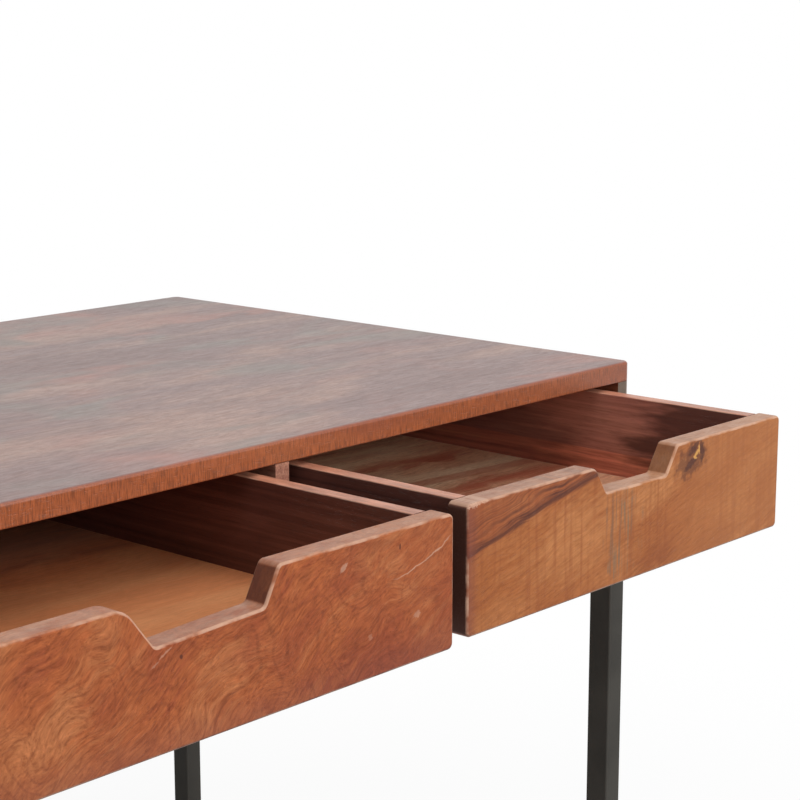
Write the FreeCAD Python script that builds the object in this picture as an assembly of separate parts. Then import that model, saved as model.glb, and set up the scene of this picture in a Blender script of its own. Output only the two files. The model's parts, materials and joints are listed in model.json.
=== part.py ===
import FreeCAD, Part
import os

# A writing desk: a solid wood case with two notched drawers on a black steel under-frame.
# Millimetres, +Z up, +X to the right and +Y to the back, as seen from the front.
# The origin is on the floor, under the middle of the desk with its drawers open as drawn.

# Whole desk
desk_width = 950.0
desk_depth = 650.0
desk_height = 760.0
plan_corner_radius = 8.0
board_edge_radius = 3.0
small_edge_radius = 1.2

# Case boards
top_thickness = 19.0
side_thickness = 20.0
divider_thickness = 15.0
bottom_thickness = 15.0
back_thickness = 12.0
case_inside_height = 111.0

# Drawer fronts, which close flush between the case boards
front_thickness = 20.0
front_top_gap = 6.0
front_bottom_gap = 2.0
front_end_gap = 4.5
front_corner_radius = 5.0
front_edge_radius = 2.5

# Finger notch in the upper edge of each front, cut by hand and so not quite even
left_notch_offset = -21.0
left_notch_bottom_width = 95.0
left_notch_left_run = 24.0
left_notch_right_run = 14.0
left_notch_left_depth = 31.0
left_notch_right_depth = 27.0
left_notch_left_lip_radius = 22.0
left_notch_right_lip_radius = 6.0
left_notch_root_radius = 5.0
right_notch_offset = -2.0
right_notch_bottom_width = 84.0
right_notch_left_run = 15.0
right_notch_right_run = 16.0
right_notch_left_depth = 23.0
right_notch_right_depth = 24.0
right_notch_left_lip_radius = 9.0
right_notch_right_lip_radius = 4.5
right_notch_root_radius = 4.0

# Drawer boxes
drawer_back_space = 28.0
drawer_side_thickness = 14.0
drawer_back_thickness = 14.0
drawer_bottom_thickness = 8.0
drawer_bottom_lift = 19.0
groove_depth = 6.0

# Wooden guides beside the drawers and stops under and behind them
guide_thickness = 12.0
guide_height = 20.0
guide_front_gap = 4.0
running_gap = 1.0
sliding_gap = 0.3
open_stop_setback = 150.0
open_stop_depth = 14.0
open_stop_width = 60.0
open_stop_clearance = 3.3
close_stop_width = 40.0
close_stop_height = 24.0

# How far each drawer is drawn out from closed
left_drawer_open = 188.0
right_drawer_open = 181.0

# Steel under-frame of oblong tube, whose wide sides face the ends of the desk on the legs
tube_width = 22.0
tube_depth = 26.0
tube_wall = 1.5
tube_corner_radius = 2.5
leg_setback = 1.0
glide_thickness = 4.0
glide_plug_length = 18.0

# Screws that hold the under-frame to the case
screw_diameter = 4.5
screw_hole_clearance = 0.25
screw_head_diameter = 9.0
screw_head_height = 3.0
screw_grip = 12.0
end_screw_shares = (0.2, 0.5, 0.8)
back_screw_shares = (0.15, 0.5, 0.85)

# Wooden dowels in the joints
dowel_diameter = 6.0
dowel_shallow = 9.0
dowel_deep = 18.0
case_dowel_shares = (0.1, 0.37, 0.63, 0.9)
divider_dowel_shares = (0.12, 0.5, 0.88)
back_dowel_shares = (0.2, 0.5, 0.8)
drawer_dowel_shares = (0.35, 0.8)

# Length by which a cutting shape runs past the face that it cuts
overrun = 2.0

# Levels and planes that follow from the sizes above
half_width = desk_width / 2
case_front = (left_drawer_open - desk_depth) / 2
case_back = case_front + desk_depth
top_level = desk_height
case_ceiling = top_level - top_thickness
case_floor = case_ceiling - case_inside_height
case_underside = case_floor - bottom_thickness
back_panel_front = case_back - back_thickness
divider_half = divider_thickness / 2
side_inner = half_width - side_thickness
drawer_side_length = desk_depth - back_thickness - drawer_back_space - front_thickness

X_AXIS = FreeCAD.Vector(1, 0, 0)
Y_AXIS = FreeCAD.Vector(0, 1, 0)
Z_AXIS = FreeCAD.Vector(0, 0, 1)


def board(x_range, y_range, z_range):
    """A plain board between pairs of planes."""
    corner = FreeCAD.Vector(x_range[0], y_range[0], z_range[0])
    return Part.makeBox(x_range[1] - x_range[0], y_range[1] - y_range[0], z_range[1] - z_range[0], corner)


def span(edge):
    """The lengths that an edge's box has along X, Y and Z."""
    box = edge.BoundBox
    return box.XLength, box.YLength, box.ZLength


def edges_along(shape, axis):
    """The straight edges that run along one axis (0 is X, 1 is Y and 2 is Z)."""
    found = []
    for edge in shape.Edges:
        lengths = span(edge)
        across = [lengths[i] for i in range(len(lengths)) if i != axis]
        if max(across) < small_edge_radius < lengths[axis]:
            found.append(edge)
    return found


def edges_in_plane(shape, axis, place):
    """The edges that lie in the plane across an axis at a given place."""
    found = []
    for edge in shape.Edges:
        box = edge.BoundBox
        low = (box.XMin, box.YMin, box.ZMin)[axis]
        high = (box.XMax, box.YMax, box.ZMax)[axis]
        if max(abs(low - place), abs(high - place)) < small_edge_radius / 10:
            found.append(edge)
    return found


def plan_column(z_range):
    """The desk's outline in plan, with rounded corners, as an upright column."""
    column = board((-half_width, half_width), (case_front, case_back), z_range)
    return column.makeFillet(plan_corner_radius, edges_along(column, 2))


def along(share, start, end):
    """The place at a share of the way from start to end."""
    return start + share * (end - start)


def dowel(point, direction, depth_back, depth_ahead):
    """A dowel across a joint at a point, reaching back and ahead along a direction."""
    start = point - direction * depth_back
    return Part.makeCylinder(dowel_diameter / 2, depth_back + depth_ahead, start, direction)


def bored(shape, dowels):
    """A board with the holes of its dowels."""
    return shape.cut(Part.makeCompound(dowels))


def steel_tube(width, depth, length, start, direction):
    """An oblong tube with rounded corners from a centre point along an axis."""
    def bar(x_size, y_size, radius, extra):
        corner = FreeCAD.Vector(-x_size / 2, -y_size / 2, -extra)
        blank = Part.makeBox(x_size, y_size, length + 2 * extra, corner)
        return blank.makeFillet(radius, edges_along(blank, 2))
    hollow = bar(width - 2 * tube_wall, depth - 2 * tube_wall, tube_corner_radius - tube_wall, overrun)
    tube = bar(width, depth, tube_corner_radius, 0).cut(hollow)
    turn = FreeCAD.Rotation(Z_AXIS, direction)
    tube.Placement = FreeCAD.Placement(start, turn)
    return tube


# Case joints
def upright_dowels(x, y_start, y_end, shares, depth_in_top, depth_in_bottom):
    """Dowels that tie an upright board to the top above it and to the bottom below it."""
    dowels = []
    for share in shares:
        y = along(share, y_start, y_end)
        dowels.append(dowel(FreeCAD.Vector(x, y, case_ceiling), Z_AXIS, dowel_deep, depth_in_top))
        dowels.append(dowel(FreeCAD.Vector(x, y, case_floor), Z_AXIS, depth_in_bottom, dowel_deep))
    return dowels


def case_dowels():
    """All dowels of the case."""
    dowels = []
    for side in (-1, 1):
        x = side * (half_width - side_thickness / 2)
        dowels += upright_dowels(x, case_front, case_back, case_dowel_shares, dowel_shallow, dowel_shallow)
    dowels += upright_dowels(0, case_front, back_panel_front, divider_dowel_shares, dowel_shallow, dowel_shallow)
    back_middle = case_back - back_thickness / 2
    for side in (-1, 1):
        for share in back_dowel_shares:
            x = side * along(share, divider_half, side_inner)
            dowels.append(dowel(FreeCAD.Vector(x, back_middle, case_floor), Z_AXIS, dowel_shallow, dowel_deep))
    return dowels


# Case boards
def top_board():
    """The top, with rounded corners in plan and softened edges."""
    shape = plan_column((case_ceiling, top_level))
    shape = shape.makeFillet(board_edge_radius, edges_in_plane(shape, 2, top_level))
    return shape.makeFillet(small_edge_radius, edges_in_plane(shape, 2, case_ceiling))


def side_panel(side):
    """An end panel under the top, flush with its end and following its corners."""
    x_range = sorted((side * side_inner, side * half_width))
    panel = board(x_range, (case_front, case_back), (case_floor, case_ceiling))
    return panel.common(plan_column((case_floor, case_ceiling)))


def bottom_board():
    """The case's bottom, on which the drawers slide."""
    shape = plan_column((case_underside, case_floor))
    return shape.makeFillet(small_edge_radius, edges_in_plane(shape, 2, case_underside))


def centre_divider():
    """The upright board between the two drawers."""
    return board((-divider_half, divider_half), (case_front, back_panel_front), (case_floor, case_ceiling))


def back_panel():
    """The board that closes the case at the back."""
    return board((-side_inner, side_inner), (back_panel_front, case_back), (case_floor, case_ceiling))


# Drawers
def bay_limits(side):
    """The inner faces of one drawer's bay, left one first."""
    return sorted((side * divider_half, side * side_inner))


def drawer_front_plane(opened):
    """The plane of a front's outer face when its drawer is drawn out."""
    return case_front - opened


def drawer_levels():
    """The lower and upper edges of the drawer's sides."""
    return case_floor + sliding_gap, case_ceiling - front_top_gap


def box_limits(side):
    """The outer faces of one drawer's sides, left one first."""
    low, high = bay_limits(side)
    return low + guide_thickness + running_gap, high - guide_thickness - running_gap


def drawer_bottom_levels():
    """The lower and upper faces of the drawer's bottom."""
    low = drawer_levels()[0] + drawer_bottom_lift
    return low, low + drawer_bottom_thickness


def drawer_bottom_panel(side, opened):
    """The drawer's bottom, held in grooves all round."""
    low, high = box_limits(side)
    inset = drawer_side_thickness - groove_depth
    front = drawer_front_plane(opened) + front_thickness - groove_depth
    back = drawer_back_face(opened) - drawer_back_thickness + groove_depth
    return board((low + inset, high - inset), (front, back), drawer_bottom_levels())


def drawer_back_face(opened):
    """The rearmost plane of a drawer."""
    return drawer_front_plane(opened) + front_thickness + drawer_side_length


def notched_front(side, opened, notch):
    """A front with a finger notch in its upper edge and rounded corners and edges."""
    bay_low, bay_high = bay_limits(side)
    left, right = bay_low + front_end_gap, bay_high - front_end_gap
    low, high = case_floor + front_bottom_gap, drawer_levels()[1]
    face = drawer_front_plane(opened)
    root_left = (left + right - notch["bottom_width"]) / 2 + notch["offset"]
    root_right = root_left + notch["bottom_width"]
    outline = [
        (left, low, front_corner_radius),
        (right, low, front_corner_radius),
        (right, high, front_corner_radius),
        (root_right + notch["right_run"], high, notch["right_lip_radius"]),
        (root_right, high - notch["right_depth"], notch["root_radius"]),
        (root_left, high - notch["left_depth"], notch["root_radius"]),
        (root_left - notch["left_run"], high, notch["left_lip_radius"]),
        (left, high, front_corner_radius),
    ]
    points = [FreeCAD.Vector(x, face, z) for x, z, _radius in outline]
    shape = Part.Face(Part.makePolygon(points + points[:1])).extrude(Y_AXIS * front_thickness)
    for point, (_x, _z, radius) in zip(points, outline):
        corner = nearest_edge(shape, 1, point + Y_AXIS * (front_thickness / 2))
        shape = shape.makeFillet(radius, [corner])
    shape = shape.makeFillet(front_edge_radius, edges_in_plane(shape, 1, face))
    return shape.makeFillet(small_edge_radius, edges_in_plane(shape, 1, face + front_thickness))


def nearest_edge(shape, axis, place):
    """The edge along an axis whose middle lies nearest to a place."""
    def distance(edge):
        return (edge.BoundBox.Center - place).Length
    return min(edges_along(shape, axis), key=distance)


def drawer_side(side, opened, left):
    """One side of a drawer, square below and softened along its upper edge."""
    low, high = box_limits(side)
    if left:
        x_range = (low, low + drawer_side_thickness)
    else:
        x_range = (high - drawer_side_thickness, high)
    front = drawer_front_plane(opened) + front_thickness
    shape = board(x_range, (front, front + drawer_side_length), drawer_levels())
    upper = [edge for edge in edges_in_plane(shape, 2, drawer_levels()[1]) if span(edge)[1] > span(edge)[0]]
    return shape.makeFillet(small_edge_radius, upper)


def drawer_back(side, opened):
    """The back of a drawer, between its sides."""
    low, high = box_limits(side)
    back = drawer_back_face(opened)
    x_range = (low + drawer_side_thickness, high - drawer_side_thickness)
    return board(x_range, (back - drawer_back_thickness, back), drawer_levels())


def drawer_dowels(side, opened):
    """The dowels of one drawer: sides to front, and sides to back."""
    low, high = box_limits(side)
    bottom, top = drawer_levels()
    front = drawer_front_plane(opened) + front_thickness
    back_middle = drawer_back_face(opened) - drawer_back_thickness / 2
    dowels = []
    for share in drawer_dowel_shares:
        z = along(share, bottom, top)
        for x in (low + drawer_side_thickness / 2, high - drawer_side_thickness / 2):
            dowels.append(dowel(FreeCAD.Vector(x, front, z), Y_AXIS, dowel_shallow, dowel_deep))
        left_joint = FreeCAD.Vector(low + drawer_side_thickness, back_middle, z)
        right_joint = FreeCAD.Vector(high - drawer_side_thickness, back_middle, z)
        dowels.append(dowel(left_joint, X_AXIS, dowel_shallow, dowel_deep))
        dowels.append(dowel(right_joint, X_AXIS, dowel_deep, dowel_shallow))
    return dowels


def drawer_pieces(name, side, opened, notch):
    """All pieces of one drawer, by node name."""
    dowels = drawer_dowels(side, opened)
    panel = drawer_bottom_panel(side, opened)
    plain = {
        "front": notched_front(side, opened, notch),
        "left_side": drawer_side(side, opened, True),
        "right_side": drawer_side(side, opened, False),
        "back": drawer_back(side, opened),
    }
    pieces = {}
    for piece, shape in plain.items():
        pieces[name + "_drawer_" + piece] = bored(shape.cut(panel), dowels)
    pieces[name + "_drawer_bottom"] = panel
    pieces[name + "_drawer_dowels"] = Part.makeCompound(dowels)
    return pieces


# Guides and stops
def drawer_guides(name, side):
    """The two battens on the case's bottom that keep a drawer straight."""
    low, high = bay_limits(side)
    y_range = (case_front + front_thickness + guide_front_gap, back_panel_front)
    z_range = (case_floor, case_floor + guide_height)
    return {
        name + "_drawer_left_guide": board((low, low + guide_thickness), y_range, z_range),
        name + "_drawer_right_guide": board((high - guide_thickness, high), y_range, z_range),
    }


def drawer_stops(name, side):
    """The block that a drawer's back meets when open, and the one behind it when closed."""
    middle = sum(bay_limits(side)) / 2
    open_front = case_front + open_stop_setback
    close_front = drawer_back_face(0) + sliding_gap
    return {
        name + "_drawer_open_stop": board(
            (middle - open_stop_width / 2, middle + open_stop_width / 2),
            (open_front, open_front + open_stop_depth),
            (case_floor, drawer_bottom_levels()[0] - open_stop_clearance)),
        name + "_drawer_close_stop": board(
            (middle - close_stop_width / 2, middle + close_stop_width / 2),
            (close_front, back_panel_front),
            (case_floor, case_floor + close_stop_height)),
    }


# Steel under-frame
leg_x = half_width - leg_setback - tube_width / 2
leg_front_y = case_front + leg_setback + tube_depth / 2
leg_back_y = case_back - leg_setback - tube_depth / 2
rail_middle_z = case_underside - tube_depth / 2


def leg(x, y):
    """An upright tube from its glide to the case."""
    foot = FreeCAD.Vector(x, y, glide_thickness)
    return steel_tube(tube_width, tube_depth, case_underside - glide_thickness, foot, Z_AXIS)


def end_rail(x):
    """A tube between the front and back leg of one end, under the case."""
    start = FreeCAD.Vector(x, leg_front_y + tube_depth / 2, rail_middle_z)
    return steel_tube(tube_width, tube_depth, leg_back_y - leg_front_y - tube_depth, start, Y_AXIS)


def back_rail():
    """A tube between the two back legs, under the case."""
    start = FreeCAD.Vector(-leg_x + tube_width / 2, leg_back_y, rail_middle_z)
    return steel_tube(tube_depth, tube_width, 2 * leg_x - tube_width, start, X_AXIS)


def glide(x, y):
    """A plug in the foot of a leg, with a flange that stands on the floor."""
    def block(width, depth, height, level, radius):
        blank = Part.makeBox(width, depth, height, FreeCAD.Vector(x - width / 2, y - depth / 2, level))
        return blank.makeFillet(radius, edges_along(blank, 2))
    flange = block(tube_width, tube_depth, glide_thickness, 0, tube_corner_radius)
    plug = block(tube_width - 2 * tube_wall, tube_depth - 2 * tube_wall, glide_plug_length, glide_thickness,
                 tube_corner_radius - tube_wall)
    return flange.fuse(plug).removeSplitter()


def screw_places():
    """Where the screws pass up through the end rails and the back rail."""
    places = []
    for share in end_screw_shares:
        y = along(share, leg_front_y, leg_back_y)
        places += [(-leg_x, y), (leg_x, y)]
    for share in back_screw_shares:
        places.append((along(share, -leg_x, leg_x), leg_back_y))
    return places


def screw(x, y):
    """A pan-head screw through a rail into the case's bottom."""
    seat = case_underside - tube_depth
    shank = Part.makeCylinder(screw_diameter / 2, tube_depth + screw_grip, FreeCAD.Vector(x, y, seat))
    head = Part.makeCylinder(screw_head_diameter / 2, screw_head_height,
                             FreeCAD.Vector(x, y, seat - screw_head_height))
    rim = edges_in_plane(head, 2, seat - screw_head_height)
    return head.makeFillet(small_edge_radius, rim).fuse(shank).removeSplitter()


def screw_hole(x, y, clearance):
    """The hole for a screw's shank through a rail or into the case's bottom."""
    start = FreeCAD.Vector(x, y, case_underside - tube_depth - overrun)
    return Part.makeCylinder(screw_diameter / 2 + clearance, tube_depth + overrun + screw_grip, start)


def drilled(shape, clearance):
    """A rail or board with the holes of the screws that pass through it."""
    holes = [screw_hole(x, y, clearance) for x, y in screw_places()]
    return shape.cut(Part.makeCompound(holes))


# The whole desk, by node name
def case_nodes():
    """The pieces of the case, with their joints cut."""
    dowels = case_dowels()
    nodes = {
        "top_board": bored(top_board(), dowels),
        "left_side_panel": bored(side_panel(-1), dowels),
        "right_side_panel": bored(side_panel(1), dowels),
        "centre_divider": bored(centre_divider(), dowels),
        "bottom_board": drilled(bored(bottom_board(), dowels), 0),
        "back_panel": bored(back_panel(), dowels),
        "case_dowels": Part.makeCompound(dowels),
    }
    for name, side in (("left", -1), ("right", 1)):
        nodes.update(drawer_guides(name, side))
        nodes.update(drawer_stops(name, side))
    return nodes


def frame_nodes():
    """The pieces of the steel under-frame."""
    nodes = {}
    for end, x in (("left", -leg_x), ("right", leg_x)):
        for place, y in (("front", leg_front_y), ("back", leg_back_y)):
            nodes[place + "_" + end + "_leg"] = leg(x, y)
            nodes[place + "_" + end + "_glide"] = glide(x, y)
        nodes[end + "_end_rail"] = drilled(end_rail(x), screw_hole_clearance)
    nodes["back_rail"] = drilled(back_rail(), screw_hole_clearance)
    nodes["frame_screws"] = Part.makeCompound([screw(x, y) for x, y in screw_places()])
    return nodes


def main():
    """Builds every node and writes it to its own file."""
    nodes = case_nodes()
    nodes.update(frame_nodes())
    left_notch = {
        "offset": left_notch_offset, "bottom_width": left_notch_bottom_width,
        "left_run": left_notch_left_run, "right_run": left_notch_right_run,
        "left_depth": left_notch_left_depth, "right_depth": left_notch_right_depth,
        "left_lip_radius": left_notch_left_lip_radius, "right_lip_radius": left_notch_right_lip_radius,
        "root_radius": left_notch_root_radius,
    }
    right_notch = {
        "offset": right_notch_offset, "bottom_width": right_notch_bottom_width,
        "left_run": right_notch_left_run, "right_run": right_notch_right_run,
        "left_depth": right_notch_left_depth, "right_depth": right_notch_right_depth,
        "left_lip_radius": right_notch_left_lip_radius, "right_lip_radius": right_notch_right_lip_radius,
        "root_radius": right_notch_root_radius,
    }
    nodes.update(drawer_pieces("left", -1, left_drawer_open, left_notch))
    nodes.update(drawer_pieces("right", 1, right_drawer_open, right_notch))
    os.makedirs("parts", exist_ok=True)
    for name, shape in nodes.items():
        shape.exportStep("parts/" + name + ".step")
    print(len(nodes), "nodes written")


main()
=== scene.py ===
"""Finishes of a campaign desk: oiled hardwood boards, two drawers and a black steel stand."""

import json
import math

import bpy
from bpy.props import FloatProperty, FloatVectorProperty, IntProperty, PointerProperty
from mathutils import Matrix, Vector

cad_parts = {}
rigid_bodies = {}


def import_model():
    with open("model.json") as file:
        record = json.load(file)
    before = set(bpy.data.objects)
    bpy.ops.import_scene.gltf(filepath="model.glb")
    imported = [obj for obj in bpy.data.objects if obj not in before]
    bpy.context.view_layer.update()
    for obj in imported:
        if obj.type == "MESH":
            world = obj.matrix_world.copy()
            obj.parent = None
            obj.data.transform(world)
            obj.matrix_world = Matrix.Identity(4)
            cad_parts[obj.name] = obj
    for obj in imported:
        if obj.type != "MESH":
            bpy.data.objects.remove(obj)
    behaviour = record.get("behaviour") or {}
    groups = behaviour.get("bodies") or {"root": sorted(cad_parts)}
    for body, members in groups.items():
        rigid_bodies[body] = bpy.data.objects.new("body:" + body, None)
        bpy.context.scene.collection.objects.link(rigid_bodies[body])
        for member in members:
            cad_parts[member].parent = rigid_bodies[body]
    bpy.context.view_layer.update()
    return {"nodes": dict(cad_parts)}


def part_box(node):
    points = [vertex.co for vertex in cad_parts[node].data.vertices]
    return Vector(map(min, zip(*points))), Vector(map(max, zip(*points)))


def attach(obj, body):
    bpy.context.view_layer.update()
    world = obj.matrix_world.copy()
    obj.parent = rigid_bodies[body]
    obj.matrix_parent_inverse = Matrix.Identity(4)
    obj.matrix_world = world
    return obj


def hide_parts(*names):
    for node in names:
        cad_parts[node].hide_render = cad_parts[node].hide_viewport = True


bl_info = {
    "name": "Campaign desk finishes",
    "version": (1, 0, 0),
    "blender": (4, 5, 0),
    "location": "View3D > Sidebar > Desk",
    "description": "Dresses the desk's boards, drawers and steel stand",
    "category": "Object",
}

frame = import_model()


def tone(red, green, blue):
    """The linear colour of an sRGB one that is written from 0 to 255."""
    parts = [part / 255 for part in (red, green, blue)]
    return tuple(part / 12.92 if part < 0.04 else ((part + 0.055) / 1.055) ** 2.4 for part in parts)


def colour(name, about, *parts):
    """A colour property, with its default given from 0 to 255."""
    return FloatVectorProperty(name=name, description=about, subtype="COLOR", size=3, min=0, max=1,
                               default=tone(*parts))


def length(name, about, default):
    """A length property, in metres."""
    return FloatProperty(name=name, description=about, subtype="DISTANCE", unit="LENGTH", min=0,
                         default=default, precision=5)


class DeskColours(bpy.types.PropertyGroup):
    """Colours of the desk's finishes."""

    top_dark: colour("Top, dark streaks", "Dark streaks along the top board", 122, 90, 84)
    top_body: colour("Top, body", "Main colour of the top board", 137, 107, 102)
    top_light: colour("Top, light streaks", "Light streaks along the top board", 170, 132, 116)
    top_rose: colour("Top, red patches", "Red patches on the top board", 164, 110, 96)
    top_cool: colour("Top, grey patches", "Grey patches on the top board", 126, 116, 108)
    top_edge: colour("Top, edges", "Edges of the top board", 173, 93, 48)
    case_dark: colour("Case, dark grain", "Dark grain of the case's boards", 116, 66, 46)
    case_body: colour("Case, body", "Main colour of the case's boards", 150, 92, 64)
    case_light: colour("Case, light grain", "Light grain of the case's boards", 170, 114, 82)
    panel_edge: colour("Side panels, front edge", "Grey front edges of the side panels", 88, 78, 64)
    divider_dark: colour("Divider, dark grain", "Dark grain of the centre divider", 124, 78, 64)
    divider_body: colour("Divider, body", "Main colour of the centre divider", 165, 111, 93)
    divider_light: colour("Divider, light grain", "Light grain of the centre divider", 178, 126, 104)
    left_dark: colour("Left front, dark grain", "Dark grain of the left drawer's front", 138, 68, 42)
    left_body: colour("Left front, body", "Main colour of the left drawer's front", 158, 86, 49)
    left_light: colour("Left front, light grain", "Light grain of the left drawer's front", 172, 106, 66)
    left_low: colour("Fronts, purple edges", "Purple cast along edges of the drawers' fronts", 120, 68, 58)
    right_dark: colour("Right front, dark grain", "Dark grain of the right drawer's front", 136, 75, 41)
    right_body: colour("Right front, body", "Main colour of the right drawer's front", 156, 92, 50)
    right_light: colour("Right front, light grain", "Light grain of the right drawer's front", 174, 113, 68)
    heartwood: colour("Heartwood", "Heartwood, knots and dark lines", 74, 40, 32)
    heart_red: colour("Red heartwood", "Red wood beside the heartwood", 140, 70, 44)
    knot: colour("Knot", "Bright resin in the knot", 206, 152, 84)
    bruise: colour("Bruised wood", "Grey streaks in the wood", 116, 98, 78)
    # End grain's own tone, also painted shade on end faces, notch slopes and lower rounded edges.
    end_grain_and_shade: colour("End grain", "End grain, which soaks up more oil", 78, 50, 42)
    # Also laid as painted sheen on the upward faces of the drawers' fronts.
    worn_and_sheen: colour("Worn wood", "Wood rubbed pale on edges and in scratches", 206, 168, 144)
    # Darker sides: partly the wood's own tone, partly painted shade for faces that lie in shade.
    left_side_dark: colour("Dark sides, dark grain", "Dark grain of the darker drawer sides", 75, 43, 38)
    left_side_body: colour("Dark sides, body", "Main colour of the darker drawer sides", 100, 60, 51)
    left_side_light: colour("Dark sides, light grain", "Light grain of the darker drawer sides", 119, 75, 63)
    right_side_dark: colour("Pale side, dark grain", "Dark grain of the paler drawer side", 142, 86, 77)
    right_side_body: colour("Pale side, body", "Main colour of the paler drawer side", 178, 114, 101)
    right_side_light: colour("Pale side, light grain", "Light grain of the paler drawer side", 196, 136, 114)
    # Painted light on the upward faces of the drawers' sides.
    side_top_painted_light: colour("Drawer sides, upper edge", "Upper edges of the drawers' sides", 214, 146, 116)
    floor_dark: colour("Left bottom, dark grain", "Dark grain of the left drawer's bottom", 172, 86, 50)
    floor_body: colour("Left bottom, body", "Main colour of the left drawer's bottom", 214, 124, 76)
    # Also laid as painted light over the front of the left drawer's bottom.
    floor_light: colour("Left bottom, light grain", "Light grain of the left drawer's bottom", 230, 156, 106)
    # Painted shadow over the rear of the left drawer's bottom.
    floor_rear_shadow: colour("Left bottom, rear", "Duller rear part of the left drawer's bottom", 120, 92, 80)
    stripe_dark: colour("Striped bottom, dark", "Dark stripes of the right drawer's bottom", 188, 104, 78)
    stripe_body: colour("Striped bottom, body", "Main colour of the right drawer's bottom", 228, 174, 138)
    stripe_light: colour("Striped bottom, light", "Light stripes of the right drawer's bottom", 240, 202, 166)
    steel: colour("Black steel", "Powder coat of the stand", 66, 64, 60)
    coat_dust: colour("Dust", "Dust on black steel and plastic", 96, 94, 90)
    coat_edge: colour("Rubbed coat", "Rounded edges of black steel and plastic", 92, 90, 86)
    plastic: colour("Black plastic", "Foot glides", 30, 30, 30)
    zinc: colour("Zinc", "Plated screws", 190, 188, 182)


class DeskGrain(bpy.types.PropertyGroup):
    """Sizes of the wood's figure and of the marks of use."""

    ring_gap: length("Ring gap", "Distance between growth rings", 0.006)
    wander: length("Wander", "How far the grain wanders to the side", 0.045)
    fibre: length("Fibre", "Width of a fibre line", 0.0016)
    pore: length("Pore", "Length of a pore", 0.012)
    wear: length("Worn patch", "Length of the rubbed patches along the edges", 0.022)
    peel: length("Coat texture", "Size of the powder coat's texture", 0.0011)


class DeskFixings(bpy.types.PropertyGroup):
    """Sizes of the screws and welds under the case."""

    head_width: length("Screw head", "Diameter of a screw's head", 0.009)
    head_height: length("Screw head height", "Height of a screw's head", 0.003)
    shank_width: length("Screw shank", "Diameter of a screw's shank", 0.0045)
    slot_width: length("Cross slot", "Width of the cross slot in a screw's head", 0.0011)
    bead_width: length("Weld bead", "Width of a weld between leg and rail", 0.0042)
    bead_step: length("Weld step", "Distance between the ripples of a weld", 0.0014)
    seed: IntProperty(name="Seed", description="Turns the screws and varies the welds", default=4, min=0)


class DeskStage(bpy.types.PropertyGroup):
    """Camera, lights and floor."""

    lens: FloatProperty(name="Lens", description="Focal length in millimetres", default=89.37, min=10)
    eye: FloatVectorProperty(name="Eye", description="Place of the camera", subtype="TRANSLATION",
                             unit="LENGTH", default=(-1.082, -1.318, 1.097))
    tilt: FloatProperty(name="Tilt", description="How far the camera looks down", subtype="ANGLE",
                        default=math.radians(11.27))
    turn: FloatProperty(name="Turn", description="How far the camera is turned to the right", subtype="ANGLE",
                        default=math.radians(48.35))
    floor: colour("Floor", "Colour of the floor", 235, 235, 235)
    ambient: FloatProperty(name="Ambient", description="Strength of the light from all around",
                           default=0.2, min=0)
    key: FloatProperty(name="Key light", description="Power of the large light at the front", subtype="POWER",
                       unit="POWER", default=34, min=0)
    low: FloatProperty(name="Low light", description="Power of the low light at the front", subtype="POWER",
                       unit="POWER", default=46, min=0)
    above: FloatProperty(name="Light above", description="Power of the light over the desk", subtype="POWER",
                         unit="POWER", default=25, min=0)
    fill: FloatProperty(name="Fill light", description="Power of the light at the left", subtype="POWER",
                        unit="POWER", default=2, min=0)


class DeskSettings(bpy.types.PropertyGroup):
    """All of the desk's settings."""

    colours: PointerProperty(type=DeskColours)
    grain: PointerProperty(type=DeskGrain)
    fixings: PointerProperty(type=DeskFixings)
    stage: PointerProperty(type=DeskStage)


def settings():
    """The desk's settings in the open scene."""
    return bpy.context.scene.desk


def shades_of(name):
    """The dark, main and light colour of one wood."""
    return [tuple(getattr(settings().colours, f"{name}_{part}")) for part in ("dark", "body", "light")]


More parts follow.
